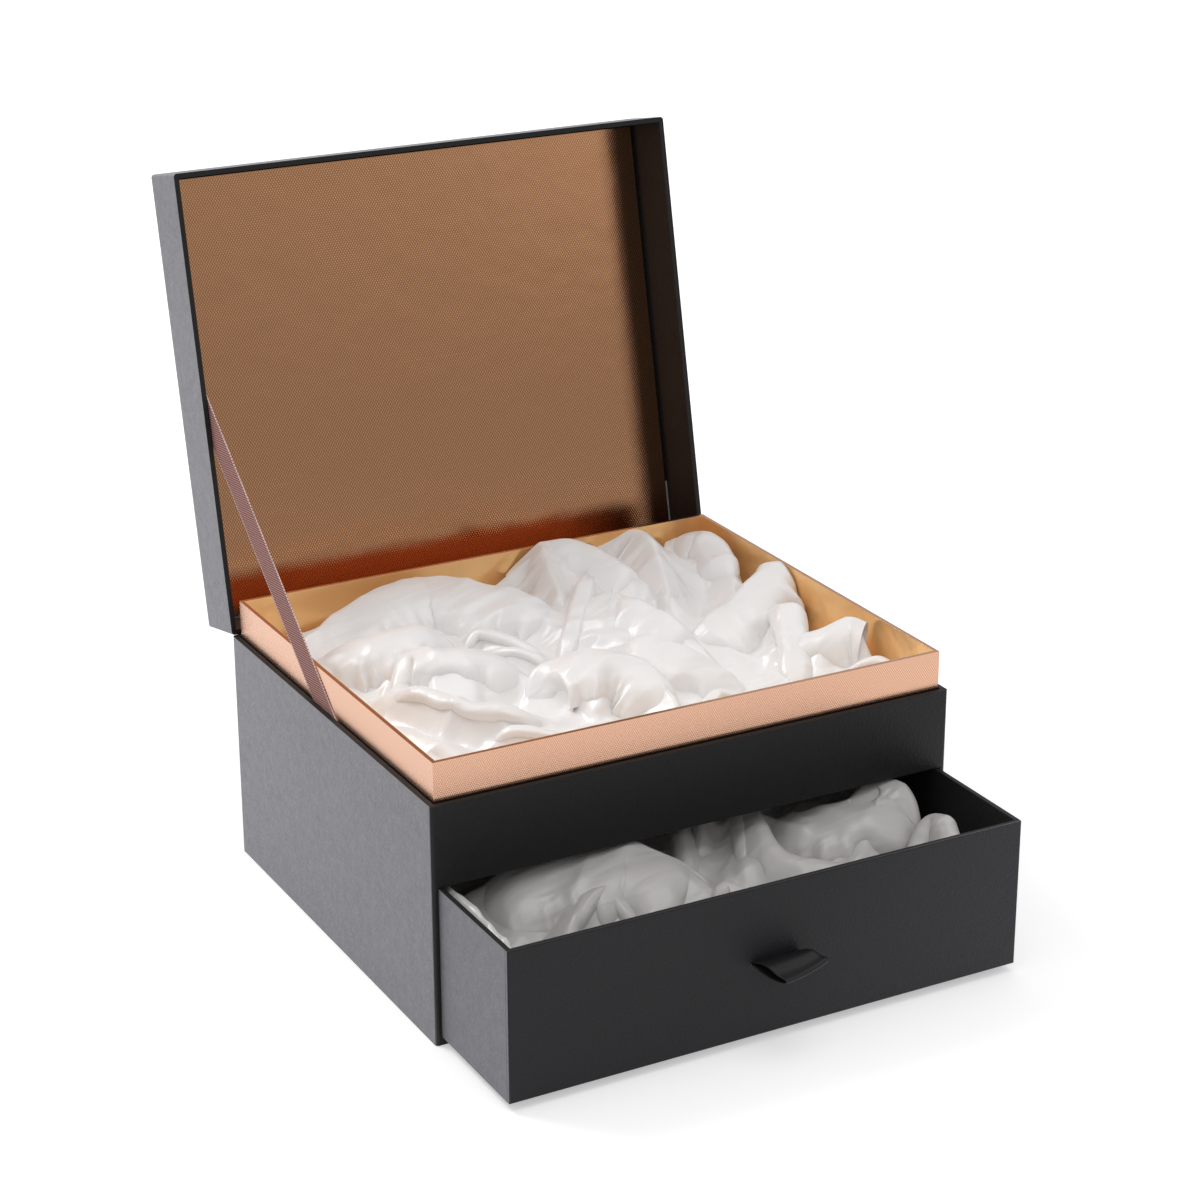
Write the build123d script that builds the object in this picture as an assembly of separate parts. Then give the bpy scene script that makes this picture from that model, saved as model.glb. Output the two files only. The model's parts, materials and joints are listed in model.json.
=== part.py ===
from build123d import *
import os
from math import cos, pi, radians, sin

# A rigid gift box with a hinged lid, a foil tray on top and a drawer below.
# Millimetres. X runs from left to right, Y from the front (-Y) to the back, Z up.
# The origin is the middle of the case's footprint, on the surface the box stands on.
# The lid is drawn open and the drawer is drawn partly out, as the box is shown.

# Overall sizes
case_width = 250.0
case_depth = 210.0
case_height = 108.5
collar_height = 17.5
lid_depth = 30.5

# How far the moving pieces stand open
lid_angle = 102.0
drawer_pull = 61.0

# Greyboard and paper
case_board = 2.0
base_board = 2.8
shelf_board = 2.0
tray_board = 1.6
lid_board = 1.8
drawer_board = 1.8
wrap_paper = 0.25
foil_paper = 0.2
corner_radius = 1.5
edge_radius = 0.6
turn_in = 14.0
base_margin = 4.0
paper_gap = 0.3

# Running clearances
tray_side_gap = 0.5
tray_front_gap = 1.0
tray_back_gap = 0.5
lid_seat_gap = 0.3
drawer_side_gap = 0.4
drawer_floor_gap = 0.3
drawer_top_gap = 0.6
drawer_back_gap = 0.8

# The drawer bay, from the base to the underside of the shelf
bay_height = 72.1

# Foil panel inside the lid
panel_thickness = 0.9
panel_margin = 1.2

# Hinge cloth across the back
hinge_cloth = 0.25
hinge_leaf = 18.0
hinge_margin = 3.0
crease_gap = 0.4

# Ribbon that holds the lid open
stay_width = 15.0
stay_thickness = 0.35
stay_lid_reach = 97.0
stay_case_place = 6.0
stay_gap_share = 0.54
stay_lid_tail = 22.0

# Ribbon pull on the drawer
tab_width = 22.0
tab_length = 17.0
tab_ribbon = 0.5
tab_fold_gap = 0.3
slit_play = 0.5
tab_tail = 9.0

# Foam and satin
soft_gap = 0.6
tray_foam = 18.0
drawer_foam = 24.0
fold_valley = 0.12
fold_sway = 14.0

# Satin folds: place across the width (0 left, 1 right), then the crest heights of each
# fold from the front to the back, as shares of the room over the foam. A fold dips by
# the share fold_valley to the next one.
tray_folds = (
    (0.00, (0.360, 0.408, 0.360, 0.288)),
    (0.12, (0.600, 0.743, 0.671, 0.528)),
    (0.30, (0.791, 0.719, 0.624, 0.863)),
    (0.50, (0.815, 0.647, 0.767, 0.887)),
    (0.68, (0.647, 0.456, 0.504, 0.863)),
    (0.84, (0.624, 0.408, 0.408, 0.719)),
    (1.00, (0.432, 0.336, 0.312, 0.408)),
)
drawer_folds = (
    (0.00, (0.721, 0.793, 0.769, 0.625)),
    (0.15, (0.529, 0.745, 0.841, 0.721)),
    (0.32, (0.577, 0.817, 0.721, 0.793)),
    (0.50, (0.433, 0.649, 0.817, 0.721)),
    (0.68, (0.481, 0.769, 0.745, 0.817)),
    (0.86, (0.457, 0.601, 0.577, 0.649)),
    (1.00, (0.216, 0.240, 0.240, 0.216)),
)

# Sizes that follow from the ones above
half_width = case_width / 2
half_depth = case_depth / 2
case_wall = case_board + 2 * wrap_paper
lid_wall = lid_board + 2 * wrap_paper
tray_wall = tray_board + 2 * foil_paper
drawer_wall = drawer_board + 2 * wrap_paper
inner_radius = corner_radius - wrap_paper

base_top = wrap_paper + base_board
shelf_low = bay_height + wrap_paper
shelf_top = shelf_low + shelf_board

tray_half_width = half_width - case_wall - tray_side_gap
tray_front = -half_depth + case_wall + tray_front_gap
tray_back = half_depth - case_wall - tray_back_gap
tray_low = shelf_top
tray_top = case_height + collar_height
tray_floor_top = tray_low + tray_wall

lid_low = case_height + lid_seat_gap
lid_top = case_height + lid_depth
lid_board_low = lid_top - wrap_paper - lid_board
lid_panel_low = lid_board_low - panel_thickness

drawer_half_width = half_width - case_wall - drawer_side_gap
drawer_front = -half_depth
drawer_back = half_depth - case_wall - drawer_back_gap
drawer_low = base_top + wrap_paper + drawer_floor_gap
drawer_top = bay_height - drawer_top_gap
drawer_seam = drawer_front + wrap_paper + drawer_board
drawer_floor_top = drawer_low + drawer_wall
tab_height = (drawer_low + drawer_top) / 2

hinge_line = Axis((0, half_depth, case_height), (1, 0, 0))


def block(x, y, z):
    """A box given by its low and high limits along each axis."""
    spans = (x, y, z)
    middle = [(low + high) / 2 for low, high in spans]
    return Pos(*middle) * Box(*[high - low for low, high in spans])


def both_ways(reach):
    """Limits that lie evenly about the middle plane."""
    return (-reach, reach)


def upright_corner(piece, x, y, radius):
    """The piece with the upright edge nearest to (x, y) rounded."""
    edges = piece.edges().filter_by(Axis.Z)
    nearest = min(edges, key=lambda e: (e.center().X - x) ** 2 + (e.center().Y - y) ** 2)
    return fillet(nearest, radius)


def open_lid(piece):
    """Turns a piece from the closed lid to where the open lid holds it."""
    return piece.rotate(hinge_line, -lid_angle)


def pull_out(piece):
    """Moves a piece from the closed drawer to the drawer as drawn."""
    return Pos(0, -drawer_pull, 0) * piece


# Case boards


def case_side(side):
    """A side wall of the case, with the outer corners rounded under the paper."""
    outer = half_width - wrap_paper
    inner = outer - case_board
    reach = half_depth - wrap_paper
    wall = block(
        sorted((side * inner, side * outer)),
        both_ways(reach),
        (wrap_paper, case_height - wrap_paper),
    )
    for end in (-1, 1):
        wall = upright_corner(wall, side * outer, end * reach, inner_radius)
    return wall


def between_sides():
    """X limits of the boards that stand between the case's side walls."""
    return both_ways(half_width - wrap_paper - case_board)


def case_back_board():
    outer = half_depth - wrap_paper
    return block(
        between_sides(), (outer - case_board, outer), (wrap_paper, case_height - wrap_paper)
    )


def case_base_board():
    reach = half_depth - wrap_paper
    return block(between_sides(), (-reach, reach - case_board), (wrap_paper, base_top))


def case_fascia_board():
    outer = half_depth - wrap_paper
    return block(
        between_sides(), (-outer, -outer + case_board), (shelf_low, case_height - wrap_paper)
    )


def case_shelf_board():
    reach = half_depth - wrap_paper - case_board
    return block(between_sides(), both_ways(reach), (shelf_low, shelf_top))


def case_boards():
    return {
        "case_left_board": case_side(-1),
        "case_right_board": case_side(1),
        "case_back_board": case_back_board(),
        "case_base_board": case_base_board(),
        "case_fascia_board": case_fascia_board(),
        "case_shelf_board": case_shelf_board(),
    }


# Case papers


def case_wrap(boards):
    """The embossed paper: outside, over the rims, and turned in around both openings."""
    skin = block(both_ways(half_width), both_ways(half_depth), (0, case_height))
    skin = fillet(skin.edges().filter_by(Axis.Z), corner_radius)
    papered = half_width - case_wall
    bare = papered + wrap_paper
    papered_depth = half_depth - case_wall
    bare_depth = papered_depth + wrap_paper
    rim = case_height - turn_in
    mouth = -half_depth + turn_in
    skin -= block(both_ways(papered), both_ways(papered_depth), (rim, case_height))
    skin -= block(both_ways(bare), both_ways(bare_depth), (shelf_top, rim))
    skin -= block(
        both_ways(papered), (-half_depth, mouth), (base_top + wrap_paper, bay_height)
    )
    skin -= block(both_ways(bare), (mouth, bare_depth), (base_top, shelf_low))
    skin -= block(
        both_ways(half_width - base_margin), both_ways(half_depth - base_margin), (0, wrap_paper)
    )
    for board in boards.values():
        skin -= board
    return skin


def case_base_paper():
    """The sheet that closes the underside, inside the edge of the wrap."""
    margin = base_margin + paper_gap
    return block(
        both_ways(half_width - margin), both_ways(half_depth - margin), (0, wrap_paper)
    )


# Foil tray


def tray_boards():
    """Floor and four walls, with foil on both of their faces."""
    side = tray_half_width - foil_paper
    inner = side - tray_board
    front = tray_front + foil_paper
    back = tray_back - foil_paper
    upright = (tray_low + foil_paper, tray_top - foil_paper)
    walls = {}
    for name, sign in (("left", -1), ("right", 1)):
        across = sorted((sign * inner, sign * side))
        walls[f"tray_{name}_board"] = block(across, (front, back), upright)
    walls["tray_front_board"] = block(both_ways(inner), (front, front + tray_board), upright)
    walls["tray_back_board"] = block(both_ways(inner), (back - tray_board, back), upright)
    walls["tray_floor_board"] = block(
        both_ways(inner),
        (front + tray_board, back - tray_board),
        (upright[0], upright[0] + tray_board),
    )
    return walls


def tray_space(inset, low, high):
    """The tray's plan shrunk by inset all round, between two heights."""
    return block(
        both_ways(tray_half_width - inset), (tray_front + inset, tray_back - inset), (low, high)
    )


def tray_outer_foil(boards):
    """Foil over the outside, the underside and the rim."""
    skin = tray_space(0, tray_low, tray_top)
    skin -= tray_space(tray_wall - foil_paper, tray_low + foil_paper, tray_top)
    for board in boards.values():
        skin -= board
    return skin


def tray_inner_foil():
    """Foil over the inside walls and floor."""
    skin = tray_space(tray_wall - foil_paper, tray_floor_top - foil_paper, tray_top)
    return skin - tray_space(tray_wall, tray_floor_top, tray_top)


# Lid, drawn closed


def lid_boards():
    """Top and four walls. The walls stand under the top."""
    reach_x = half_width - wrap_paper
    reach_y = half_depth - wrap_paper
    top = block(both_ways(reach_x), both_ways(reach_y), (lid_board_low, lid_top - wrap_paper))
    top = fillet(top.edges().filter_by(Axis.Z), inner_radius)
    top = fillet(top.faces().sort_by(Axis.Z)[-1].edges(), edge_radius - wrap_paper)
    upright = (lid_low + wrap_paper, lid_board_low)
    boards = {"lid_top_board": top}
    for name, sign in (("left", -1), ("right", 1)):
        across = sorted((sign * (reach_x - lid_board), sign * reach_x))
        wall = block(across, both_ways(reach_y), upright)
        for end in (-1, 1):
            wall = upright_corner(wall, sign * reach_x, end * reach_y, inner_radius)
        boards[f"lid_{name}_board"] = wall
    for name, sign in (("front", -1), ("back", 1)):
        along = sorted((sign * (reach_y - lid_board), sign * reach_y))
        boards[f"lid_{name}_board"] = block(both_ways(reach_x - lid_board), along, upright)
    return boards


def lid_wrap(boards):
    """The embossed paper: outside, over the rim and up the inside of the walls."""
    skin = block(both_ways(half_width), both_ways(half_depth), (lid_low, lid_top))
    skin = fillet(skin.edges().filter_by(Axis.Z), corner_radius)
    skin = fillet(skin.faces().sort_by(Axis.Z)[-1].edges(), edge_radius)
    skin -= block(
        both_ways(half_width - lid_wall), both_ways(half_depth - lid_wall), (lid_low, lid_board_low)
    )
    for board in boards.values():
        skin -= board
    return skin


def lid_foil_panel():
    """The foil-faced card glued inside the lid's top."""
    margin = lid_wall + panel_margin
    return block(
        both_ways(half_width - margin),
        both_ways(half_depth - margin),
        (lid_panel_low, lid_board_low),
    )


# Hinge cloth and stay


def hinge_cloth_leaf(low, high):
    """One leaf of the hinge cloth, on the back faces, between two heights."""
    return block(
        both_ways(half_width - hinge_margin), (half_depth, half_depth + hinge_cloth), (low, high)
    )


def lid_point(y, z):
    """Where the open lid carries a point of the closed lid, given from the hinge line."""
    turn = radians(lid_angle)
    return (
        half_depth + y * cos(turn) + z * sin(turn),
        case_height - y * sin(turn) + z * cos(turn),
    )


def stay_ribbon():
    """A taut flat ribbon from the lid's left wall down between the tray and the case.

    It reaches down by stay_gap_share of the depth from the case's rim to the shelf.
    """
    low = Vector(0, stay_case_place, case_height)
    high = Vector(0, *lid_point(-stay_lid_reach, 0))
    along = (high - low).normalized()
    across = Vector(0, -along.Z, along.Y) * (stay_width / 2)
    drop = stay_gap_share * (case_height - shelf_top) - across.Z
    start = low - along * (drop / along.Z)
    end = high + along * stay_lid_tail
    face = make_face(
        Polyline(start - across, end - across, end + across, start + across, close=True)
    )
    middle = half_width - case_wall - tray_side_gap / 2
    return Pos(-middle - stay_thickness / 2, 0, 0) * extrude(face, stay_thickness, dir=(1, 0, 0))


# Drawer, drawn closed


def drawer_boards():
    """Front, sides, back and bottom."""
    outer = drawer_half_width - wrap_paper
    inner = outer - drawer_board
    back = drawer_back - wrap_paper
    upright = (drawer_low + wrap_paper, drawer_top - wrap_paper)
    front = block(both_ways(outer), (drawer_front + wrap_paper, drawer_seam), upright)
    front = fillet(front.faces().sort_by(Axis.Y)[0].edges(), edge_radius - wrap_paper)
    boards = {"drawer_front_board": front - drawer_slit()}
    for name, sign in (("left", -1), ("right", 1)):
        across = sorted((sign * inner, sign * outer))
        boards[f"drawer_{name}_board"] = block(across, (drawer_seam, back), upright)
    boards["drawer_back_board"] = block(both_ways(inner), (back - drawer_board, back), upright)
    boards["drawer_bottom_board"] = block(
        both_ways(inner),
        (drawer_seam, back - drawer_board),
        (upright[0], upright[0] + drawer_board),
    )
    return boards


def drawer_slit():
    """The slit that the pull ribbon passes through."""
    reach = (tab_width + slit_play) / 2
    rise = tab_ribbon + tab_fold_gap / 2 + slit_play / 4
    return block(
        both_ways(reach),
        (drawer_front - 1, drawer_front + drawer_wall + 1),
        (tab_height - rise, tab_height + rise),
    )


def drawer_front_wrap(boards):
    """Paper over the drawer front's face and four edges."""
    skin = block(
        both_ways(drawer_half_width), (drawer_front, drawer_seam), (drawer_low, drawer_top)
    )
    skin = fillet(skin.faces().sort_by(Axis.Y)[0].edges(), edge_radius)
    return skin - boards["drawer_front_board"] - drawer_slit()


def drawer_body_wrap(boards):
    """Paper round the sides, back and underside of the drawer, and over its rim."""
    inner = drawer_half_width - wrap_paper - drawer_board
    inner_back = drawer_back - wrap_paper - drawer_board
    skin = block(
        both_ways(drawer_half_width), (drawer_seam, drawer_back), (drawer_low, drawer_top)
    )
    skin -= block(
        both_ways(inner), (drawer_seam, inner_back), (drawer_low + wrap_paper, drawer_top)
    )
    for board in boards.values():
        skin -= board
    return skin


def drawer_lining():
    """Paper over the drawer's inside walls and floor."""
    reach = drawer_half_width - drawer_wall
    rear = drawer_back - drawer_wall
    skin = block(
        both_ways(reach + wrap_paper),
        (drawer_seam, rear + wrap_paper),
        (drawer_floor_top - wrap_paper, drawer_top),
    )
    skin -= block(
        both_ways(reach), (drawer_seam + wrap_paper, rear), (drawer_floor_top, drawer_top)
    )
    return skin - drawer_slit()


def pull_ribbon():
    """A folded ribbon through the slit, its two ends glued flat on the inside."""
    inner = tab_fold_gap / 2
    outer = inner + tab_ribbon
    reach = both_ways(tab_width / 2)
    nose = drawer_front - tab_length + outer
    inside = drawer_front + drawer_wall
    loop = block(reach, (nose, inside + tab_ribbon), (tab_height - outer, tab_height + outer))
    gap = block(reach, (nose, inside + tab_ribbon), (tab_height - inner, tab_height + inner))
    across = Pos(0, nose, tab_height) * Rot(0, 90, 0)
    loop += across * Cylinder(outer, tab_width)
    gap += across * Cylinder(inner, tab_width)
    ribbon = loop - gap
    for sign in (-1, 1):
        rise = sorted((tab_height + sign * inner, tab_height + sign * tab_tail))
        ribbon += block(reach, (inside, inside + tab_ribbon), rise)
    return ribbon


# Foam and satin


def fold_section(x, front, back, low, crests, valley, sway):
    """One upright cut through the satin: flat below, one arc for each fold above."""
    step = (back - front) / len(crests)
    places = [front + n * step for n in range(len(crests) + 1)]
    places[1:-1] = [place + sway for place in places[1:-1]]
    dips = [crests[0]]
    dips += [min(pair) for pair in zip(crests, crests[1:])]
    dips += [crests[-1]]
    knots = [low + dip - valley for dip in dips]
    outline = [Line((x, back, knots[-1]), (x, back, low)), Line((x, back, low), (x, front, low))]
    outline += [Line((x, front, low), (x, front, knots[0]))]
    for n, crest in enumerate(crests):
        start = (x, places[n], knots[n])
        peak = (x, (places[n] + places[n + 1]) / 2, low + crest)
        end = (x, places[n + 1], knots[n + 1])
        outline.append(ThreePointArc(start, peak, end))
    return make_face(Wire(outline))


def satin(left, right, front, back, low, high, folds):
    """Crumpled satin as one closed solid whose top follows its main, wandering folds."""
    room = high - low
    valley = fold_valley * room
    sections = []
    for share, crests in folds:
        x = left + share * (right - left)
        sway = fold_sway * sin(2 * pi * share)
        rises = [crest * room for crest in crests]
        sections.append(fold_section(x, front, back, low, rises, valley, sway))
    return loft(sections)


def tray_soft():
    """The foam on the tray's floor and the satin on it."""
    inset = tray_wall + soft_gap
    foam_top = tray_floor_top + tray_foam
    reach = tray_half_width - inset
    return {
        "tray_foam_pad": tray_space(inset, tray_floor_top, foam_top),
        "tray_satin": satin(
            *both_ways(reach),
            tray_front + inset,
            tray_back - inset,
            foam_top,
            lid_panel_low,
            tray_folds,
        ),
    }


def drawer_soft():
    """The foam on the drawer's floor and the satin on it."""
    reach = drawer_half_width - drawer_wall - soft_gap
    front = drawer_front + drawer_wall + tab_ribbon + soft_gap
    back = drawer_back - drawer_wall - soft_gap
    foam_top = drawer_floor_top + drawer_foam
    return {
        "drawer_foam_pad": block(both_ways(reach), (front, back), (drawer_floor_top, foam_top)),
        "drawer_satin": satin(
            *both_ways(reach), front, back, foam_top, drawer_top, drawer_folds
        ),
    }


def case_pieces():
    pieces = case_boards()
    pieces["case_wrap"] = case_wrap(pieces)
    pieces["case_base_paper"] = case_base_paper()
    pieces["hinge_cloth_case_leaf"] = hinge_cloth_leaf(
        case_height - hinge_leaf, case_height - crease_gap
    )
    tray = tray_boards()
    tray["tray_outer_foil"] = tray_outer_foil(tray)
    tray["tray_inner_foil"] = tray_inner_foil()
    return {**pieces, **tray, **tray_soft(), "stay_ribbon": stay_ribbon()}


def lid_pieces():
    pieces = lid_boards()
    pieces["lid_wrap"] = lid_wrap(pieces)
    pieces["lid_foil_panel"] = lid_foil_panel()
    pieces["hinge_cloth_lid_leaf"] = hinge_cloth_leaf(
        case_height + crease_gap, case_height + hinge_leaf
    )
    return {name: open_lid(piece) for name, piece in pieces.items()}


def drawer_pieces():
    pieces = drawer_boards()
    pieces["drawer_front_wrap"] = drawer_front_wrap(pieces)
    pieces["drawer_body_wrap"] = drawer_body_wrap(pieces)
    pieces["drawer_lining"] = drawer_lining()
    pieces["pull_ribbon"] = pull_ribbon()
    pieces.update(drawer_soft())
    return {name: pull_out(piece) for name, piece in pieces.items()}


os.makedirs("parts", exist_ok=True)
for name, piece in {**case_pieces(), **lid_pieces(), **drawer_pieces()}.items():
    export_step(piece, f"parts/{name}.step")
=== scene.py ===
import json
from math import cos, pi, radians, sin

import bpy
import bmesh
import numpy as np
from mathutils import Matrix, Vector


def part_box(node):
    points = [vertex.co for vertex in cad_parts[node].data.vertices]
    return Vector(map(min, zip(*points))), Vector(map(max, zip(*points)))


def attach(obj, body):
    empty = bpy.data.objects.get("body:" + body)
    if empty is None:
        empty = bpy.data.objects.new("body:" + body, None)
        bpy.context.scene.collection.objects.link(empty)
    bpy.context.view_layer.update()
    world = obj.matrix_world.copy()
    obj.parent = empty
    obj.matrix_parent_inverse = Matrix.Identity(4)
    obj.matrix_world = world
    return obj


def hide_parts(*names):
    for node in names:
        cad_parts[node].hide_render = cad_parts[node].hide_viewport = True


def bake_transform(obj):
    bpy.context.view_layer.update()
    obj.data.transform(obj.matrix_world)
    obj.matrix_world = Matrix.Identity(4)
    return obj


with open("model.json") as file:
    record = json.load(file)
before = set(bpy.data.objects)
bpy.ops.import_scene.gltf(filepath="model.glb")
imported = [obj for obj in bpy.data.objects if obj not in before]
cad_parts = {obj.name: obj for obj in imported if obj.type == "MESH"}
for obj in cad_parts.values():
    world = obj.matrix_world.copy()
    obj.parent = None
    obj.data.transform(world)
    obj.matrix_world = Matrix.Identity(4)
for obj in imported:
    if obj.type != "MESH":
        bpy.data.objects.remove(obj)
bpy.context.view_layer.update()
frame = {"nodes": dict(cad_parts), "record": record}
nodes = frame["nodes"]
scene = bpy.context.scene
MM = 0.001

# Sizes that follow the model's source, in millimetres
CASE_D, CASE_H = 210.0, 108.5
LID_ANGLE = 102.0
DRAWER_PULL = 61.0
HINGE = Vector((0.0, CASE_D / 2, CASE_H))

# The photograph's camera, solved from the box's corners
CAM_AZ, CAM_EL, CAM_ROLL = -28.4875, 21.2426, -0.1348
CAM_TARGET = Vector((176.674, 308.687, 0.0)) * MM
CAM_DISTANCE = 1689.577 * MM
CAM_FOCAL_PX, FRAME_PX, CAM_SENSOR = 2952.97, 1200.0, 36.0


# ---------------------------------------------------------------- helpers
def new_object(name, mesh):
    obj = bpy.data.objects.new(name, mesh)
    scene.collection.objects.link(obj)
    return obj


def mesh_from(name, verts, faces, smooth=True, uvs=None):
    mesh = bpy.data.meshes.new(name)
    mesh.from_pydata([tuple(v) for v in verts], [], faces)
    mesh.validate()
    if smooth:
        mesh.polygons.foreach_set("use_smooth", [True] * len(mesh.polygons))
    if uvs is not None:
        layer = mesh.uv_layers.new(name="UVMap")
        idx = np.zeros(len(mesh.loops), np.int64)
        mesh.loops.foreach_get("vertex_index", idx)
        layer.data.foreach_set("uv", np.asarray(uvs, np.float32)[idx].ravel())
    mesh.update()
    return new_object(name, mesh)


def grid_faces(nu, nv):
    faces = []
    for i in range(nu - 1):
        for j in range(nv - 1):
            a, b = i * nv + j, (i + 1) * nv + j
            faces.append((a, b, b + 1, a + 1))
    return faces


def lid_open(p):
    """Turns a point of the shut lid, in millimetres, to where the open lid holds it."""
    t = radians(-LID_ANGLE)
    y, z = p[1] - HINGE.y, p[2] - HINGE.z
    return Vector((p[0], HINGE.y + y * cos(t) - z * sin(t), HINGE.z + y * sin(t) + z * cos(t)))


def spline(points, step=0.5):
    """Catmull-Rom curve through the points, sampled about every step."""
    p = np.asarray(points, float)
    p = np.vstack([2 * p[0] - p[1], p, 2 * p[-1] - p[-2]])
    out = []
    for a, b, c, d in zip(p, p[1:], p[2:], p[3:]):
        n = max(2, int(np.linalg.norm(c - b) / step))
        t = np.linspace(0, 1, n, endpoint=False)[:, None]
        curve = (c - a) * t + (2 * a - 5 * b + 4 * c - d) * t**2
        curve += (3 * b - a - 3 * c + d) * t**3
        out.append(b + 0.5 * curve)
    out.append(p[-2][None])
    return np.vstack(out)


# ---------------------------------------------------------------- materials
class Nodes:
    """A short way to write a material's node tree."""

    def __init__(self, name):
        self.mat = bpy.data.materials.new(name)
        self.mat.use_nodes = True
        self.tree = self.mat.node_tree
        self.shader = self.tree.nodes["Principled BSDF"]

    def add(self, kind, **values):
        node = self.tree.nodes.new(kind)
        for key, value in values.items():
            setattr(node, key, value)
        return node

    def put(self, socket, value):
        if isinstance(value, bpy.types.NodeSocket):
            self.tree.links.new(value, socket)
        elif value is not None:
            socket.default_value = value

    def math(self, op, a, b=None):
        node = self.add("ShaderNodeMath", operation=op)
        self.put(node.inputs[0], a)
        self.put(node.inputs[1], b)
        return node.outputs[0]

    def mix(self, factor, a, b):
        node = self.add("ShaderNodeMix", data_type="FLOAT")
        self.put(node.inputs[0], factor)
        self.put(node.inputs[2], a)
        self.put(node.inputs[3], b)
        return node.outputs[0]

    def colour(self, factor, a, b):
        node = self.add("ShaderNodeMix", data_type="RGBA")
        self.put(node.inputs[0], factor)
        self.put(node.inputs[6], (*a, 1) if isinstance(a, tuple) else a)
        self.put(node.inputs[7], (*b, 1) if isinstance(b, tuple) else b)
        return node.outputs[2]

    def ramp(self, value, stops):
        node = self.add("ShaderNodeValToRGB")
        self.put(node.inputs[0], value)
        while len(node.color_ramp.elements) < len(stops):
            node.color_ramp.elements.new(0.5)
        for element, (place, level) in zip(node.color_ramp.elements, stops):
            element.position = place
            element.color = (level, level, level, 1)
        return node.outputs[0]

    def coords(self, turn=None, scale=(1, 1, 1), kind="Object"):
        source = self.add("ShaderNodeTexCoord").outputs[kind]
        if turn is None and scale == (1, 1, 1):
            return source
        node = self.add("ShaderNodeMapping")
        self.put(node.inputs[0], source)
        node.inputs["Rotation"].default_value = turn or (0, 0, 0)
        node.inputs["Scale"].default_value = scale
        return node.outputs[0]

    def noise(self, vector, scale, detail=3.0, rough=0.55, distortion=0.0):
        node = self.add("ShaderNodeTexNoise")
        self.put(node.inputs["Vector"], vector)
        node.inputs["Scale"].default_value = scale
        node.inputs["Detail"].default_value = detail
        node.inputs["Roughness"].default_value = rough
        node.inputs["Distortion"].default_value = distortion
        return node.outputs["Fac"]

    def voronoi(self, vector, scale, feature="F1"):
        node = self.add("ShaderNodeTexVoronoi", feature=feature)
        self.put(node.inputs["Vector"], vector)
        node.inputs["Scale"].default_value = scale
        return node.outputs["Distance"]

    def bump(self, height, strength, distance, below=None):
        node = self.add("ShaderNodeBump")
        node.inputs["Strength"].default_value = strength
        node.inputs["Distance"].default_value = distance
        self.put(node.inputs["Height"], height)
        self.put(node.inputs["Normal"], below)
        return node.outputs[0]

    def faces_uv(self, turn=(0, 0, 0)):
        """Two coordinates in the plane of whichever box face a point lies on."""
        place = self.add("ShaderNodeSeparateXYZ")
        self.put(place.inputs[0], self.coords(turn))
        rotated = self.add("ShaderNodeVectorRotate", rotation_type="EULER_XYZ")
        self.put(rotated.inputs["Vector"], self.add("ShaderNodeTexCoord").outputs["Normal"])
        rotated.inputs["Rotation"].default_value = turn
        normal = self.add("ShaderNodeSeparateXYZ")
        self.put(normal.inputs[0], rotated.outputs[0])
        on_x = self.math("GREATER_THAN", self.math("ABSOLUTE", normal.outputs[0]), 0.7)
        on_z = self.math("GREATER_THAN", self.math("ABSOLUTE", normal.outputs[2]), 0.7)
        u = self.mix(on_x, place.outputs[0], place.outputs[1])
        v = self.mix(on_z, place.outputs[2], place.outputs[1])
        return u, v

    def lattice(self, u, v, pitch, lean=1.0):
        """Small diamond cells, from 0 at their edges to 1 in their middles."""
        rate = pi / pitch
        across = self.math("MULTIPLY", v, lean)
        one = self.math("SINE", self.math("MULTIPLY", self.math("ADD", u, across), rate))
        two = self.math("SINE", self.math("MULTIPLY", self.math("SUBTRACT", u, across), rate))
        both = self.math("MULTIPLY", one, two)
        return self.math("MULTIPLY", both, both)

    def finish(self, **values):
        for key, value in values.items():
            name = key.replace("_", " ")
            socket = self.shader.inputs[name]
            if isinstance(value, tuple) and len(value) == 3 and socket.type == "RGBA":
                value = (*value, 1)
            self.put(socket, value)
        return self.mat


# How far out, in metres, a face has to lie and look to count as outward, where the leatherette's
# painted sheen shows
OUTWARD_FROM = 0.03


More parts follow.
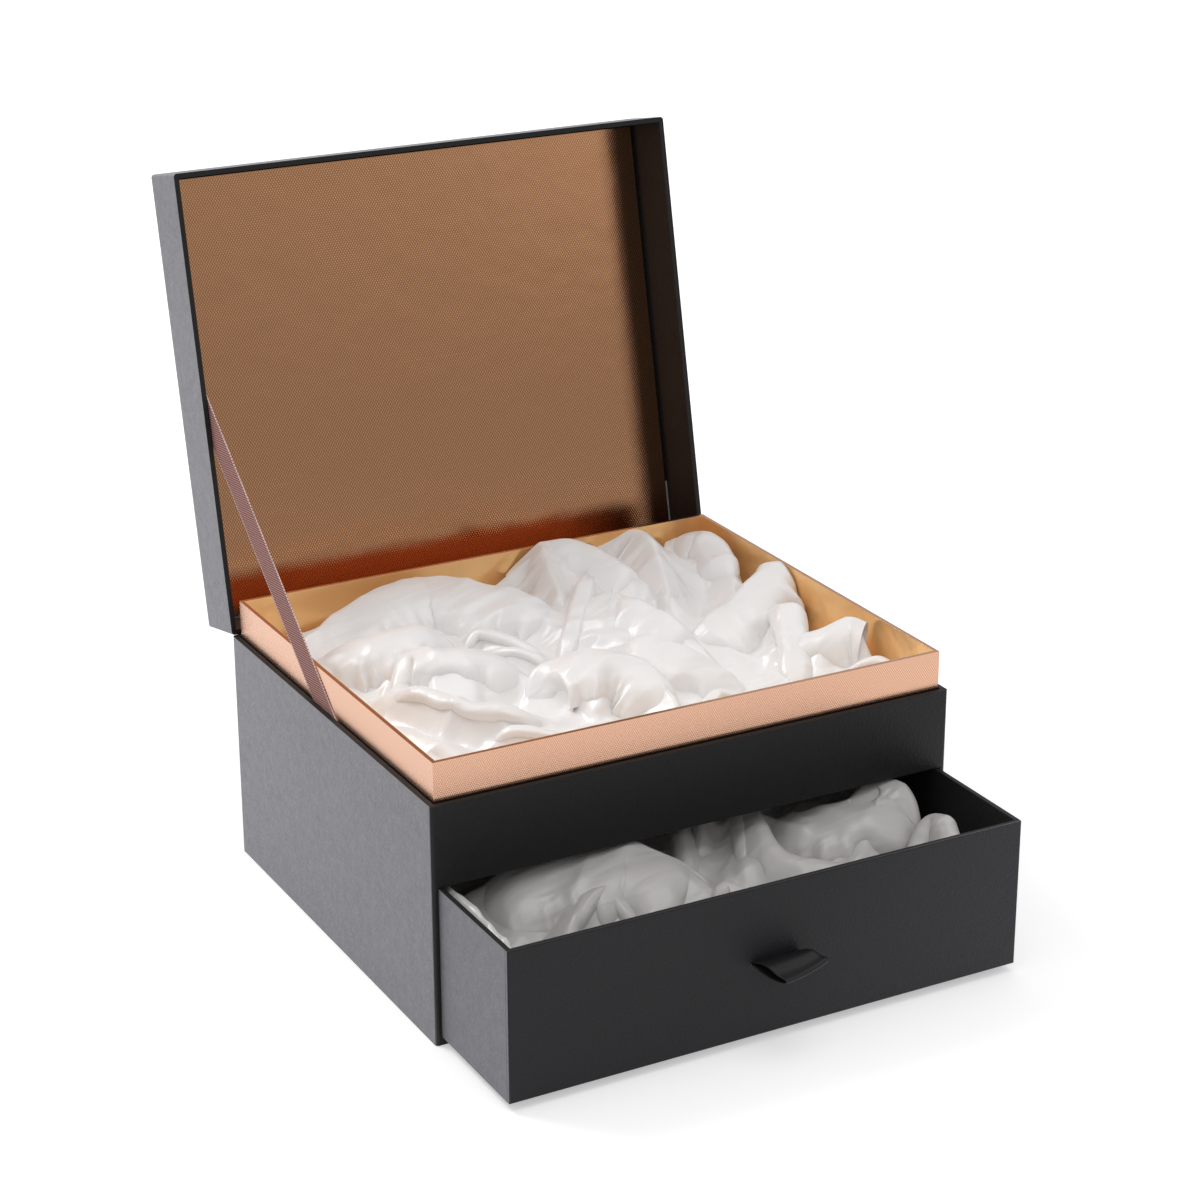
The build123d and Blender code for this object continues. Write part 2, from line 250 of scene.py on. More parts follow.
def leatherette(name, base, light, rough, level, painted_sheen, grain=1.0):
    """Grained paper with a painted sheen: a paler base colour that grows on outward faces seen at
    a low angle.
    """
    m = Nodes(name)
    at = m.coords()
    pebble = m.voronoi(at, 950 / grain, "SMOOTH_F1")
    wrinkle = m.noise(at, 520 / grain, 4.0, 0.6, 0.6)
    fine = m.noise(at, 2600 / grain, 2.0, 0.5)
    height = m.math("ADD", m.math("MULTIPLY", pebble, 0.9), m.math("MULTIPLY", wrinkle, 0.9))
    height = m.math("ADD", height, m.math("MULTIPLY", fine, 0.25))
    shade = m.ramp(m.math("MULTIPLY", height, 0.6), ((0.2, 0.0), (0.85, 1.0)))
    cloud = m.noise(at, 14.0, 3.0)
    tone = m.colour(shade, base, light)
    tone = m.colour(m.math("MULTIPLY", cloud, 0.25), tone, tuple(c * 1.5 for c in base))
    # Painted sheen: outward faces get a paler base colour by the slant of the view, in place of
    # light from the side
    facing = m.ramp(m.add("ShaderNodeLayerWeight").outputs["Facing"], ((0.25, 0.0), (0.75, 1.0)))
    place, normal = m.add("ShaderNodeSeparateXYZ"), m.add("ShaderNodeSeparateXYZ")
    m.put(place.inputs[0], at)
    m.put(normal.inputs[0], m.coords(kind="Normal"))
    along_x = m.math("MULTIPLY", place.outputs[0], normal.outputs[0])
    along_y = m.math("MULTIPLY", place.outputs[1], normal.outputs[1])
    outward = m.math("GREATER_THAN", m.math("ADD", along_x, along_y), OUTWARD_FROM)
    blotch = m.noise(at, 210.0, 3.0, 0.6)
    # The painted sheen is patchy with the grain and a blotchy noise
    painted_sheen_patches = m.math("ADD", m.math("MULTIPLY", shade, 0.5), m.math("MULTIPLY", blotch, 0.5))
    strength = m.math("MULTIPLY", m.math("MULTIPLY", facing, outward), m.math("ADD", painted_sheen_patches, 0.5))
    tone = m.colour(strength, tone, painted_sheen)
    roughness = m.math("ADD", m.math("MULTIPLY", shade, 0.12), rough)
    return m.finish(
        Base_Color=tone,
        Roughness=roughness,
        Specular_IOR_Level=level,
        Normal=m.bump(height, 0.55, 0.00028),
    )


# The small diamonds that the foils are embossed with: on the tray, on the lid's panel,
# and how far they lean
FOIL_PITCH, PANEL_PITCH, FOIL_LEAN = 0.00105, 0.00130, 0.62


def foil(
    name, colour, dark, rough, pitch, depth, turn=(0, 0, 0), waves=0.0, scratches=0.0, metal=1.0
):
    """Foil paper embossed with small diamonds, in waves where it is slack."""
    m = Nodes(name)
    u, v = m.faces_uv(turn)
    cells = m.lattice(u, v, pitch, FOIL_LEAN)
    at = m.coords(turn)
    cloud = m.noise(at, 9.0, 3.0)
    tone = m.colour(m.ramp(cells, ((0.0, 0.0), (0.5, 1.0))), dark, colour)
    tone = m.colour(m.math("MULTIPLY", cloud, 0.18), tone, dark)
    normal = m.bump(cells, 0.5, depth)
    if waves:
        slow = m.noise(at, 55.0, 2.0, 0.5)
        normal = m.bump(slow, waves, 0.0035, normal)
    roughness = m.math("ADD", m.math("MULTIPLY", cloud, 0.06), rough)
    if scratches:
        long = m.noise(m.coords((0.3, 0.1, 0.5), (6.0, 900.0, 900.0)), 1.0, 2.0)
        line = m.ramp(long, ((0.70, 0.0), (0.74, 1.0)))
        roughness = m.math("ADD", roughness, m.math("MULTIPLY", line, scratches))
    return m.finish(Base_Color=tone, Metallic=metal, Roughness=roughness, Normal=normal)


def satin_cloth(name, colour, shade, painted_shade, painted_shade_below):
    """Close-woven satin: soft gloss over fine threads and long, slack creases, in a greyer colour
    as painted shade below a given height.
    """
    m = Nodes(name)
    at = m.coords()
    thread = m.noise(m.coords(None, (2600, 420, 420)), 1.0, 2.0)
    cross = m.noise(m.coords(None, (300, 2600, 2600)), 1.0, 2.0)
    soft = m.noise(at, 26.0, 2.0)
    tone = m.colour(m.math("MULTIPLY", soft, 0.35), colour, shade)
    level = m.add("ShaderNodeSeparateXYZ")
    m.put(level.inputs[0], at)
    # Painted shade: below the given height the satin takes the greyer colour
    tone = m.colour(m.math("LESS_THAN", level.outputs[2], painted_shade_below), tone, painted_shade)
    weave = m.math("ADD", thread, m.math("MULTIPLY", cross, 0.6))
    one = m.noise(m.coords((0.2, 0.1, 0.7), (24, 130, 80)), 1.0, 1.5, 0.4, 0.7)
    two = m.noise(m.coords((0.1, 0.3, -0.6), (24, 130, 80)), 1.0, 1.5, 0.4, 0.7)
    which = m.ramp(m.noise(at, 15.0, 1.0), ((0.44, 0.0), (0.56, 1.0)))
    normal = m.bump(m.mix(which, one, two), 0.5, 0.0022)
    return m.finish(
        Base_Color=tone,
        Roughness=m.math("ADD", m.math("MULTIPLY", thread, 0.08), 0.27),
        Specular_IOR_Level=0.8,
        Subsurface_Weight=0.10,
        Subsurface_Radius=(1.0, 0.9, 0.8),
        Subsurface_Scale=0.003,
        Normal=m.bump(weave, 0.12, 0.0001, normal),
    )


# The panel leaves a margin of bare board in the lid, which is toned black over this
# height. Only the lid's boards reach it; their foot, below it, stays pale.
STAIN, STAIN_Z = (0.010, 0.009, 0.008), 0.132


def fibre(name, base, light, scale, rough, depth=0.0002, level=0.3, stain_above=None):
    """Board, paper or cloth, toned black above the height stain_above if that is given."""
    m = Nodes(name)
    at = m.coords()
    grain = m.noise(at, scale, 5.0, 0.65)
    flecks = m.ramp(m.noise(at, scale * 0.35, 3.0), ((0.42, 0.0), (0.66, 1.0)))
    tone = m.colour(flecks, base, light)
    if stain_above is not None:
        place = m.add("ShaderNodeSeparateXYZ")
        m.put(place.inputs[0], at)
        stained = m.math("GREATER_THAN", place.outputs[2], stain_above)
        tone = m.colour(stained, tone, STAIN)
    return m.finish(
        Base_Color=tone,
        Roughness=m.math("ADD", m.math("MULTIPLY", grain, 0.15), rough),
        Specular_IOR_Level=level,
        Normal=m.bump(grain, 0.4, depth),
    )


def open_foam(name):
    m = Nodes(name)
    cells = m.voronoi(m.coords(), 900.0)
    return m.finish(
        Base_Color=m.colour(cells, (0.70, 0.69, 0.66), (0.88, 0.87, 0.84)),
        Roughness=0.9,
        Normal=m.bump(cells, 0.6, 0.0006),
    )


def grosgrain(name):
    """Ribs on the slant with pale crossings, and a pale looped edge."""
    m = Nodes(name)
    uv = m.add("ShaderNodeSeparateXYZ")
    m.put(uv.inputs[0], m.coords(kind="UV"))
    along, across = uv.outputs[0], uv.outputs[1]
    cells = m.lattice(along, across, 0.0015, 1.0)
    rib = m.math("ABSOLUTE", m.math("SINE", m.math("MULTIPLY", along, pi / 0.0016)))
    edge = m.math("GREATER_THAN", m.math("ABSOLUTE", across), 0.0069)
    loops = m.ramp(rib, ((0.35, 0.0), (0.6, 1.0)))
    pale = m.ramp(cells, ((0.2, 0.0), (0.6, 1.0)))
    tone = m.colour(pale, (0.15, 0.045, 0.038), (0.74, 0.46, 0.42))
    tone = m.colour(m.math("MULTIPLY", edge, loops), tone, (0.78, 0.60, 0.57))
    return m.finish(
        Base_Color=tone,
        Roughness=0.65,
        Specular_IOR_Level=0.12,
        Normal=m.bump(m.math("ADD", cells, m.math("MULTIPLY", rib, 0.5)), 0.5, 0.00012),
    )


def black_satin(name):
    m = Nodes(name)
    uv = m.add("ShaderNodeSeparateXYZ")
    m.put(uv.inputs[0], m.coords(kind="UV"))
    fine = m.noise(m.coords(None, (500, 3200, 500), "UV"), 1.0, 2.0)
    rib = m.math("SINE", m.math("MULTIPLY", uv.outputs[0], 2 * pi / 0.00045))
    height = m.math("ADD", fine, m.math("MULTIPLY", rib, 0.25))
    return m.finish(
        Base_Color=m.colour(fine, (0.008, 0.008, 0.009), (0.016, 0.016, 0.018)),
        Roughness=m.math("ADD", m.math("MULTIPLY", fine, 0.12), 0.40),
        Specular_IOR_Level=0.3,
        Normal=m.bump(height, 0.3, 0.00008),
    )


LID_TURN = (radians(LID_ANGLE), 0, 0)
MATERIALS = {
    "greyboard": fibre(
        "greyboard",
        (0.40, 0.38, 0.35),
        (0.52, 0.50, 0.46),
        scale=900,
        rough=0.75,
        level=0.1,
        stain_above=STAIN_Z,
    ),
    "embossed_wrap": leatherette(
        "embossed_wrap",
        (0.0115, 0.0115, 0.012),
        (0.017, 0.017, 0.018),
        rough=0.40,
        level=0.24,
        # colour of the painted sheen on outward faces seen at a low angle
        painted_sheen=(0.285, 0.28, 0.305),
    ),
    "hinge_cloth": fibre("hinge_cloth", (0.012, 0.012, 0.012), (0.022, 0.022, 0.023), 2400, 0.7),
    "base_paper": fibre("base_paper", (0.02, 0.02, 0.021), (0.03, 0.03, 0.031), 700, 0.7),
    "rose_gold_foil": foil(
        "rose_gold_foil",
        (0.82, 0.52, 0.375),
        (0.60, 0.33, 0.22),
        rough=0.22,
        pitch=FOIL_PITCH,
        depth=0.00006,
    ),
    "gold_foil": foil(
        "gold_foil",
        (1.0, 0.68, 0.33),
        (1.0, 0.59, 0.25),
        rough=0.15,
        pitch=FOIL_PITCH,
        depth=0.00002,
        waves=0.25,
        metal=0.5,
    ),
    "copper_foil_card": foil(
        "copper_foil_card",
        (0.92, 0.51, 0.275),
        (0.52, 0.24, 0.12),
        rough=0.07,
        pitch=PANEL_PITCH,
        depth=0.00005,
        turn=LID_TURN,
        waves=0.05,
        scratches=0.10,
    ),
    "foam": open_foam("foam"),
    "white_satin": satin_cloth(
        "white_satin",
        (0.885, 0.865, 0.855),
        (0.83, 0.81, 0.805),
        # Painted shade: the drawer's satin lies all below this height and is toned greyer
        painted_shade=(0.55, 0.535, 0.525),
        painted_shade_below=0.085,
    ),
    "grosgrain_ribbon": grosgrain("grosgrain_ribbon"),
    "black_satin_ribbon": black_satin("black_satin_ribbon"),
    "drawer_paper": leatherette(
        "drawer_paper",
        (0.013, 0.013, 0.0148),
        (0.019, 0.019, 0.0217),
        rough=0.40,
        level=0.22,
        # colour of the painted sheen on outward faces seen at a low angle
        painted_sheen=(0.26, 0.255, 0.28),
        grain=0.8,
    ),
    "lining_paper": fibre("lining_paper", (0.008, 0.008, 0.008), (0.013, 0.013, 0.013), 1500, 0.6),
}
SLOT_OF = {s["node"]: s["material_slot"] for s in frame["record"]["subparts"]}
for name, node in nodes.items():
    material = MATERIALS[SLOT_OF[name]]
    if node.data.materials:
        for i in range(len(node.data.materials)):
            node.data.materials[i] = material
    else:
        node.data.materials.append(material)


def dress(obj, slot_name):
    obj.data.materials.clear()
    obj.data.materials.append(MATERIALS[slot_name])
    return obj


def soften(name, width):
    """Rounds the sharp edges of a model node with modifiers, over its unchanged mesh."""
    node = nodes[name]
    weld = node.modifiers.new("join", "WELD")
    weld.merge_threshold = 0.00001
    bevel = node.modifiers.new("edges", "BEVEL")
    bevel.width = width * MM
    bevel.segments = 2
    bevel.limit_method = "ANGLE"
    bevel.angle_limit = radians(40)
    bevel.harden_normals = True
    bevel.use_clamp_overlap = True


# The lid's wrap keeps its sharp edges
PAPER_EDGE, PANEL_EDGE = 0.12, 0.25
for name in (
    "case_wrap",
    "drawer_front_wrap",
    "drawer_body_wrap",
    "tray_outer_foil",
    "tray_inner_foil",
    "drawer_lining",
):
    soften(name, PAPER_EDGE)
soften("lid_foil_panel", PANEL_EDGE)


# ---------------------------------------------------------------- satin
# Sections across a fold, from its broad foot to its undercut foot: the offset from the
# crest as a share of that side's width, and the height as a share of the drop.
SECTIONS = {
    "roll": (
        (-1, -1), (-0.74, -0.66), (-0.46, -0.32), (-0.20, -0.07), (0, 0), (0.45, -0.02),
        (0.86, -0.13), (1.0, -0.30), (0.90, -0.47), (0.55, -0.62), (0.25, -0.80), (0.15, -1.1),
    ),
    "dome": (
        (-1, -1.1), (-0.96, -0.78), (-0.82, -0.47), (-0.58, -0.20), (-0.28, -0.04), (0, 0),
        (0.45, -0.03), (0.86, -0.15), (1.0, -0.36), (0.86, -0.60), (0.62, -0.80), (0.5, -1.1),
    ),
    "slope": (
        (-1, -1), (-0.80, -0.74), (-0.55, -0.42), (-0.30, -0.16), (-0.10, -0.02), (0, 0),
        (0.35, -0.05), (0.75, -0.22), (0.95, -0.48), (1.0, -0.8), (1.1, -1.1),
    ),
    "tent": (
        (-1, -1), (-0.66, -0.62), (-0.36, -0.30), (-0.14, -0.08), (-0.03, -0.005),
        (0.03, -0.005), (0.14, -0.09), (0.36, -0.32), (0.66, -0.64), (1, -1),
    ),
    "loop": (
        (-0.30, -1.1), (-0.50, -0.82), (-0.98, -0.54), (-1.0, -0.26), (-0.60, -0.04), (0, 0),
        (0.60, -0.04), (1.0, -0.26), (0.98, -0.54), (0.50, -0.82), (0.30, -1.1),
    ),
}


def line_noise(n, length, cell, rng):
    """Smooth noise between -1 and 1 along a line of n samples."""
    knots = rng.uniform(-1, 1, int(length / cell) + 4)
    x = np.linspace(0, length / cell, n) + 1
    i = x.astype(int)
    f = x - i
    f = f * f * (3 - 2 * f)
    return knots[i] * (1 - f) + knots[np.minimum(i + 1, len(knots) - 1)] * f


def fold_surface(fold, rng):
    """Points and faces of one fold, lofted along its crest."""
    crest, kind, side, broad, under, drop, open_a, open_b = fold
    line = spline(crest, 1.1)
    n = len(line)
    run = np.concatenate([[0], np.cumsum(np.linalg.norm(np.diff(line, axis=0), axis=1))])
    tangent = np.gradient(line[:, :2], axis=0)
    for _ in range(6):
        tangent[1:-1] = (tangent[:-2] + 2 * tangent[1:-1] + tangent[2:]) / 4
    tangent /= np.linalg.norm(tangent, axis=1)[:, None] + 1e-9
    out = np.stack([tangent[:, 1], -tangent[:, 0]], 1) * side
    share, tip, end_sink = run / run[-1], 0.24, 5.0
    end_a = np.clip(share / tip, 0, 1)
    end_b = np.clip((1 - share) / tip, 0, 1)
    end_a, end_b = end_a * (2 - end_a), end_b * (2 - end_b)
    keep = np.maximum(end_a, open_a) * np.maximum(end_b, open_b)
    section = spline([(x, y, 0) for x, y in SECTIONS[kind]], 0.055)[:, :2]
    pleat_w = 1.04 - 0.22 * abs(line_noise(n, run[-1], 7.5, rng))
    pleat_w += 0.03 * line_noise(n, run[-1], 3.0, rng)
    pleat_h = 1 + 0.07 * line_noise(n, run[-1], 9.0, rng)
    sway = 0.7 * line_noise(n, run[-1], 9.0, rng)
    verts = []
    for i in range(n):
        width = np.where(section[:, 0] < 0, broad, under) * (0.25 + 0.75 * keep[i])
        flute = 1 + (pleat_w[i] - 1) * np.clip(-section[:, 1] * 1.6, 0, 1)
        across = section[:, 0] * width * flute + sway[i]
        up = section[:, 1] * drop * pleat_h[i] - end_sink * (1 - keep[i])
        at = line[i, :2] + out[i] * across[:, None]
        verts.append(np.column_stack([at, line[i, 2] + up]))
    return np.vstack(verts), grid_faces(n, len(section))


def ridge_field(points, folds, base, sink):
    """Height of a sheet that lies under the folds and carries on their slopes."""
    blend, datum, batch, round_top = 1.3, 100.0, 4000, 3.0
    total = np.exp((base - datum) / blend)
    for crest, kind, side, broad, under, drop, _, _ in folds:
        line = spline(crest)
        tangent = np.gradient(line[:, :2], axis=0)
        for at in range(0, len(points), batch):
            p = points[at : at + batch]
            gap = p[:, None, :] - line[None, :, :2]
            d2 = (gap**2).sum(-1)
            near = d2.argmin(1)
            d = np.sqrt(d2[np.arange(len(p)), near])
            g = gap[np.arange(len(p)), near]
            t = tangent[near]
            on_under = (t[:, 1] * g[:, 0] - t[:, 0] * g[:, 1]) * side > 0
            narrow = 1.5 * drop / max(broad, 6.0) if kind == "tent" else 2.2
            slope = np.where(on_under, narrow, 0.85 * drop / broad)
            height = line[near, 2] - sink - slope * (np.sqrt(d**2 + round_top**2) - round_top)
            total[at : at + batch] += np.exp((height - datum) / blend)
    return datum + blend * np.log(total)


def value_noise(points, cell, seed):
    """Smooth noise between -1 and 1 on a plane."""
    rng = np.random.default_rng(seed)
    table = rng.uniform(-1, 1, (64, 64))
    q = points / cell + 17.0
    i = np.floor(q).astype(int)
    f = q - i
    f = f * f * (3 - 2 * f)
    a = table[i[:, 0] % 64, i[:, 1] % 64]
    b = table[(i[:, 0] + 1) % 64, i[:, 1] % 64]
    c = table[i[:, 0] % 64, (i[:, 1] + 1) % 64]
    d = table[(i[:, 0] + 1) % 64, (i[:, 1] + 1) % 64]
    fx, fy = f[:, 0], f[:, 1]
    return (a * (1 - fx) + b * fx) * (1 - fy) + (c * (1 - fx) + d * fx) * fy


def smooth_grid(values, nu, nv, times):
    v = values.reshape(nu, nv, -1).copy()
    for _ in range(times):
        p = np.pad(v, ((1, 1), (1, 1), (0, 0)), mode="edge")
        v = 0.5 * v + 0.125 * (p[2:, 1:-1] + p[:-2, 1:-1] + p[1:-1, 2:] + p[1:-1, :-2])
    return v.reshape(values.shape)


def crumple(points, seed):
    """Creases that run on through a sheet and its folds, in millimetres."""
    bend = np.stack([value_noise(points, 31.0, seed + 7), value_noise(points, 31.0, seed + 9)], 1)
    at = points + 9.0 * bend
    turned = at @ np.array([[0.94, -0.42], [0.30, 1.5]])
    long = 1 - np.abs(value_noise(turned, 27.0, seed + 21)) * 2
    short = 1 - np.abs(value_noise(at, 13.0, seed + 23)) * 2
    return 1.5 * long + 0.75 * short


def satin_sheet(name, space, folds, base_z, edge_z, high, seed, tall_left=False):
    """Gathered satin: a rumpled sheet with its folds rolled over on it.

    It lies between base_z and high, and comes down to edge_z along its border, except on
    the left where tall_left says that it climbs the wall."""
    x0, x1, y0, y1 = space
    step, hem, under_folds = 1.2, 7.0, 2.6
    nu, nv = int((x1 - x0) / step) + 1, int((y1 - y0) / step) + 1
    xs, ys = np.linspace(x0, x1, nu), np.linspace(y0, y1, nv)
    grid = np.stack(np.meshgrid(xs, ys, indexing="ij"), -1).reshape(-1, 2)
    base = base_z + 3.0 * value_noise(grid, 34.0, seed) + 1.2 * value_noise(grid, 15.0, seed + 3)
    height = ridge_field(grid, folds, base, under_folds)
    left = np.full(len(grid), 1e3) if tall_left else grid[:, 0] - x0
    dist = np.minimum.reduce([left, x1 - grid[:, 0], grid[:, 1] - y0, y1 - grid[:, 1]])
    s = np.clip(dist / hem, 0, 1)
    s = s * s * (3 - 2 * s)
    height = edge_z + (np.minimum(height, high) - edge_z) * (0.15 + 0.85 * s)
    height = smooth_grid(height, nu, nv, 3) + 1.6 * s * crumple(grid, seed)
    verts = [np.column_stack([grid, height])]
    faces = grid_faces(nu, nv)
    rng = np.random.default_rng(seed)
    count = len(grid)
    for fold in folds:
        v, f = fold_surface(fold, rng)
        v[:, 2] += 0.85 * crumple(v[:, :2], seed)
        faces += [tuple(count + i for i in q) for q in f]
        verts.append(v)
        count += len(v)
    verts = np.vstack(verts)
    verts[:, 0] = np.clip(verts[:, 0], x0, x1)
    verts[:, 1] = np.clip(verts[:, 1], y0, y1)
    verts[:, 2] = np.clip(verts[:, 2], edge_z, high)
    return mesh_from(name, verts * MM, faces, True, verts[:, :2] * MM)


# Each fold: its crest in millimetres, the section, the side of the undercut, the widths
# of its broad and its undercut side, the drop, and how far open its first and last end
# stay. The crests follow the photograph where it shows them.
TRAY_FOLDS = [
    (
        ((-114, 60, 112), (-88, 79, 118), (-52, 87, 126), (-32, 84, 127), (-19, 69, 126.5),
         (-3, 55, 124), (6, 42, 120), (12, 30, 114)),
        "dome", -1, 34, 5, 19, 0.5, 0,
    ),
    (
        ((29, 95, 130), (21, 68, 124), (12, 38, 115)),
        "tent", 1, 20, 18, 15, 1, 0,
    ),
    (
        ((29, 95, 130), (42, 85, 130.5), (49, 71, 128), (55, 58, 124), (62, 48, 117)),
        "slope", -1, 22, 6, 17, 1, 0,
    ),
    (
        ((33, 56, 127), (29, 48, 128), (18, 34, 123.5), (4, 18, 116), (-8, 5, 109)),
        "loop", 1, 5.5, 5.5, 14, 0.6, 0,
    ),
    (
        ((30, 28, 127.5), (37, 12, 126.5), (44, -5, 122.5), (49, -22, 115)),
        "slope", -1, 24, 5, 14, 0.8, 0,
    ),
    (
        ((31, 28, 127.5), (22, 16, 121), (8, 1, 111)),
        "tent", -1, 6, 18, 12, 1, 0,
    ),
    (
        ((60, 97, 122), (76, 85, 131), (73, 62, 126), (65, 38, 118), (60, 22, 111)),
        "tent", 1, 15, 18, 14, 0.8, 0,
    ),
    (
        ((97, 95, 119), (111, 80, 126.5), (110, 62, 123.5), (104, 42, 118)),
        "dome", -1, 16, 5, 15, 0.5, 0,
    ),
    (
        ((116, 33, 125), (113, 27, 126.5), (103, 20, 124), (87, 10, 120), (70, 5, 115),
         (54, 2, 110)),
        "dome", 1, 24, 5, 15, 0.9, 0,
    ),
    (
        ((100, -6, 119), (97, -16, 124), (90, -32, 120), (80, -52, 112), (72, -66, 106)),
        "loop", 1, 8, 8, 17, 0.8, 0,
    ),
    (
        ((88, -32, 116), (98, -44, 120.5), (110, -47, 124), (116, -53, 123)),
        "dome", -1, 15, 4, 14, 0, 1,
    ),
    (
        ((98, -64, 112), (108, -74, 117), (116, -83, 113)),
        "roll", 1, 9, 4, 9, 0, 0.5,
    ),
    (
        ((12, -6, 115), (22, -18, 123), (36, -31, 119.5), (48, -44, 111), (55, -58, 105)),
        "dome", -1, 22, 4, 15, 0.3, 0,
    ),
    (
        ((-114, 42, 117), (-87, 40, 123), (-66, 33, 125.5), (-56, 24, 121), (-51, 12, 112)),
        "dome", -1, 24, 5, 17, 0.6, 0,
    ),
    (
        ((-47, 27, 117), (-36, 31, 121), (-25, 17, 118), (-13, 2, 111)),
        "roll", 1, 9, 4, 9, 0, 0,
    ),
    (
        ((-38, 22, 113), (-26, 8, 116), (-17, -4, 112)),
        "roll", 1, 6, 3, 7, 0, 0,
    ),
    (
        ((-92, 2, 114), (-80, 12, 123), (-68, 4, 126), (-49, -3, 122.5), (-33, -19, 114)),
        "dome", -1, 17, 5, 11, 0.3, 0,
    ),
    (
        ((-97, -2, 113), (-88, -14, 119.5), (-81, -32, 120.5), (-74, -43, 119.5),
         (-60, -50, 117), (-45, -57, 112)),
        "roll", 1, 13, 5, 11, 0, 0,
    ),
    (
        ((-72, -54, 112), (-58, -62, 113), (-42, -70, 107)),
        "roll", 1, 9, 4, 8, 0, 0,
    ),
    (
        ((-43, -29, 112), (-30, -21, 121.5), (-6, -28, 125.5), (7, -41, 122), (11, -58, 117),
         (8, -70, 113)),
        "dome", -1, 25, 4.5, 15, 0, 0,
    ),
    (
        ((-114, -26, 111), (-100, -50, 112), (-84, -74, 106)),
        "slope", -1, 14, 8, 10, 0.5, 0,
    ),
    (
        ((16, -74, 109), (32, -68, 113), (48, -78, 107)),
        "roll", 1, 9, 4, 8, 0, 0,
    ),
    (
        ((-62, -86, 103), (-30, -82, 108), (-4, -88, 104)),
        "slope", -1, 9, 6, 7, 0, 0,
    ),
    (
        ((62, -74, 106), (78, -84, 109), (92, -90, 105)),
        "slope", -1, 9, 6, 7, 0, 0,
    ),
    (
        ((-114, 93, 105), (-80, 95, 109), (-40, 96, 108)),
        "slope", -1, 10, 3, 7, 0, 0,
    ),
]
DRAWER_FOLDS = [
    (
        ((-116, -162, 67), (-115.5, -130, 69.5), (-115, -95, 69), (-115, -50, 67),
         (-114, 20, 64)),
        "roll", -1, 3.5, 4, 18, 1, 1,
    ),
    (
        ((-103, -86, 55), (-83, -90, 64), (-52, -95, 68.5), (-32, -101, 69), (-23, -114, 67),
         (-12, -124, 62), (-7, -132, 55)),
        "dome", -1, 40, 6, 18, 0, 0,
    ),
    (
        ((-49, -96, 69), (-51, -108, 66), (-54, -120, 59)),
        "tent", 1, 8, 8, 4, 1, 0,
    ),
    (
        ((-94, -152, 49), (-74, -132, 59), (-54, -121, 63.5), (-50, -133, 57), (-46, -146, 50)),
        "roll", 1, 16, 3.5, 12, 0, 0,
    ),
    (
        ((-54, -118, 60), (-32, -115, 65), (-19, -121, 63.5), (-13, -134, 58), (-11, -148, 51)),
        "dome", -1, 22, 4, 13, 0, 0,
    ),
    (
        ((-15, -143, 57), (-7, -137, 61.5), (1, -144, 58.5), (6, -154, 52)),
        "dome", -1, 8, 3, 8, 0, 0,
    ),
    (
        ((10, -62, 64), (0, -90, 62), (-8, -106, 56), (-11, -120, 50)),
        "slope", 1, 12, 5, 10, 1, 0,
    ),
    (
        ((24, -60, 65), (13, -84, 62.5), (0, -104, 56)),
        "slope", 1, 9, 5, 10, 1, 0,
    ),
    (
        ((42, -60, 66), (28, -92, 63.5), (13, -120, 55)),
        "slope", 1, 10, 5, 11, 1, 0,
    ),
    (
        ((42, -70, 66), (32, -101, 65), (29, -118, 62), (33, -130, 58.5), (50, -138, 55),
         (66, -143, 50)),
        "roll", -1, 16, 4, 12, 1, 0,
    ),
    (
        ((42, -84, 58), (60, -99, 63.5), (76, -104, 66.5), (91, -99, 69), (99, -107, 69.8),
         (98, -118, 66), (95, -128, 57)),
        "dome", -1, 30, 5, 16, 0.4, 0,
    ),
    (
        ((76, -104, 67), (71, -116, 61), (62, -132, 51)),
        "tent", 1, 9, 9, 5, 1, 0,
    ),
    (
        ((82, -144, 50), (91, -135, 60), (99, -133, 66.5), (102, -140, 67), (100, -150, 62)),
        "dome", -1, 9, 4, 12, 0, 0.9,
    ),
    (
        ((-92, -40, 58), (-50, -30, 62), (-10, -44, 62), (40, -30, 63), (92, -46, 60)),
        "slope", 1, 20, 8, 12, 0, 0,
    ),
    (
        ((-92, 8, 58), (-40, 0, 62), (10, 14, 61), (60, 4, 63), (106, 14, 57)),
        "slope", 1, 20, 8, 12, 0, 0,
    ),
]
# left, right, front and back of the room inside tray and drawer
TRAY_ROOM = (-119.2, 119.2, -98.7, 99.2)
DRAWER_ROOM = (-118.9, 118.9, -161.5, 37.5)
tray_satin = satin_sheet(
    "tray_satin_cloth", TRAY_ROOM, TRAY_FOLDS, base_z=104.0, edge_z=96.0, high=134.6, seed=11
)
drawer_satin = satin_sheet(
    "drawer_satin_cloth",
    DRAWER_ROOM,
    DRAWER_FOLDS,
    base_z=47.0,
    edge_z=33.0,
    high=70.8,
    seed=47,
    tall_left=True,
)
for obj, body, node in (
    (tray_satin, "case", "tray_satin"),
    (drawer_satin, "drawer", "drawer_satin"),
):
    dress(obj, "white_satin")
    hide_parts(node)
    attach(obj, body)


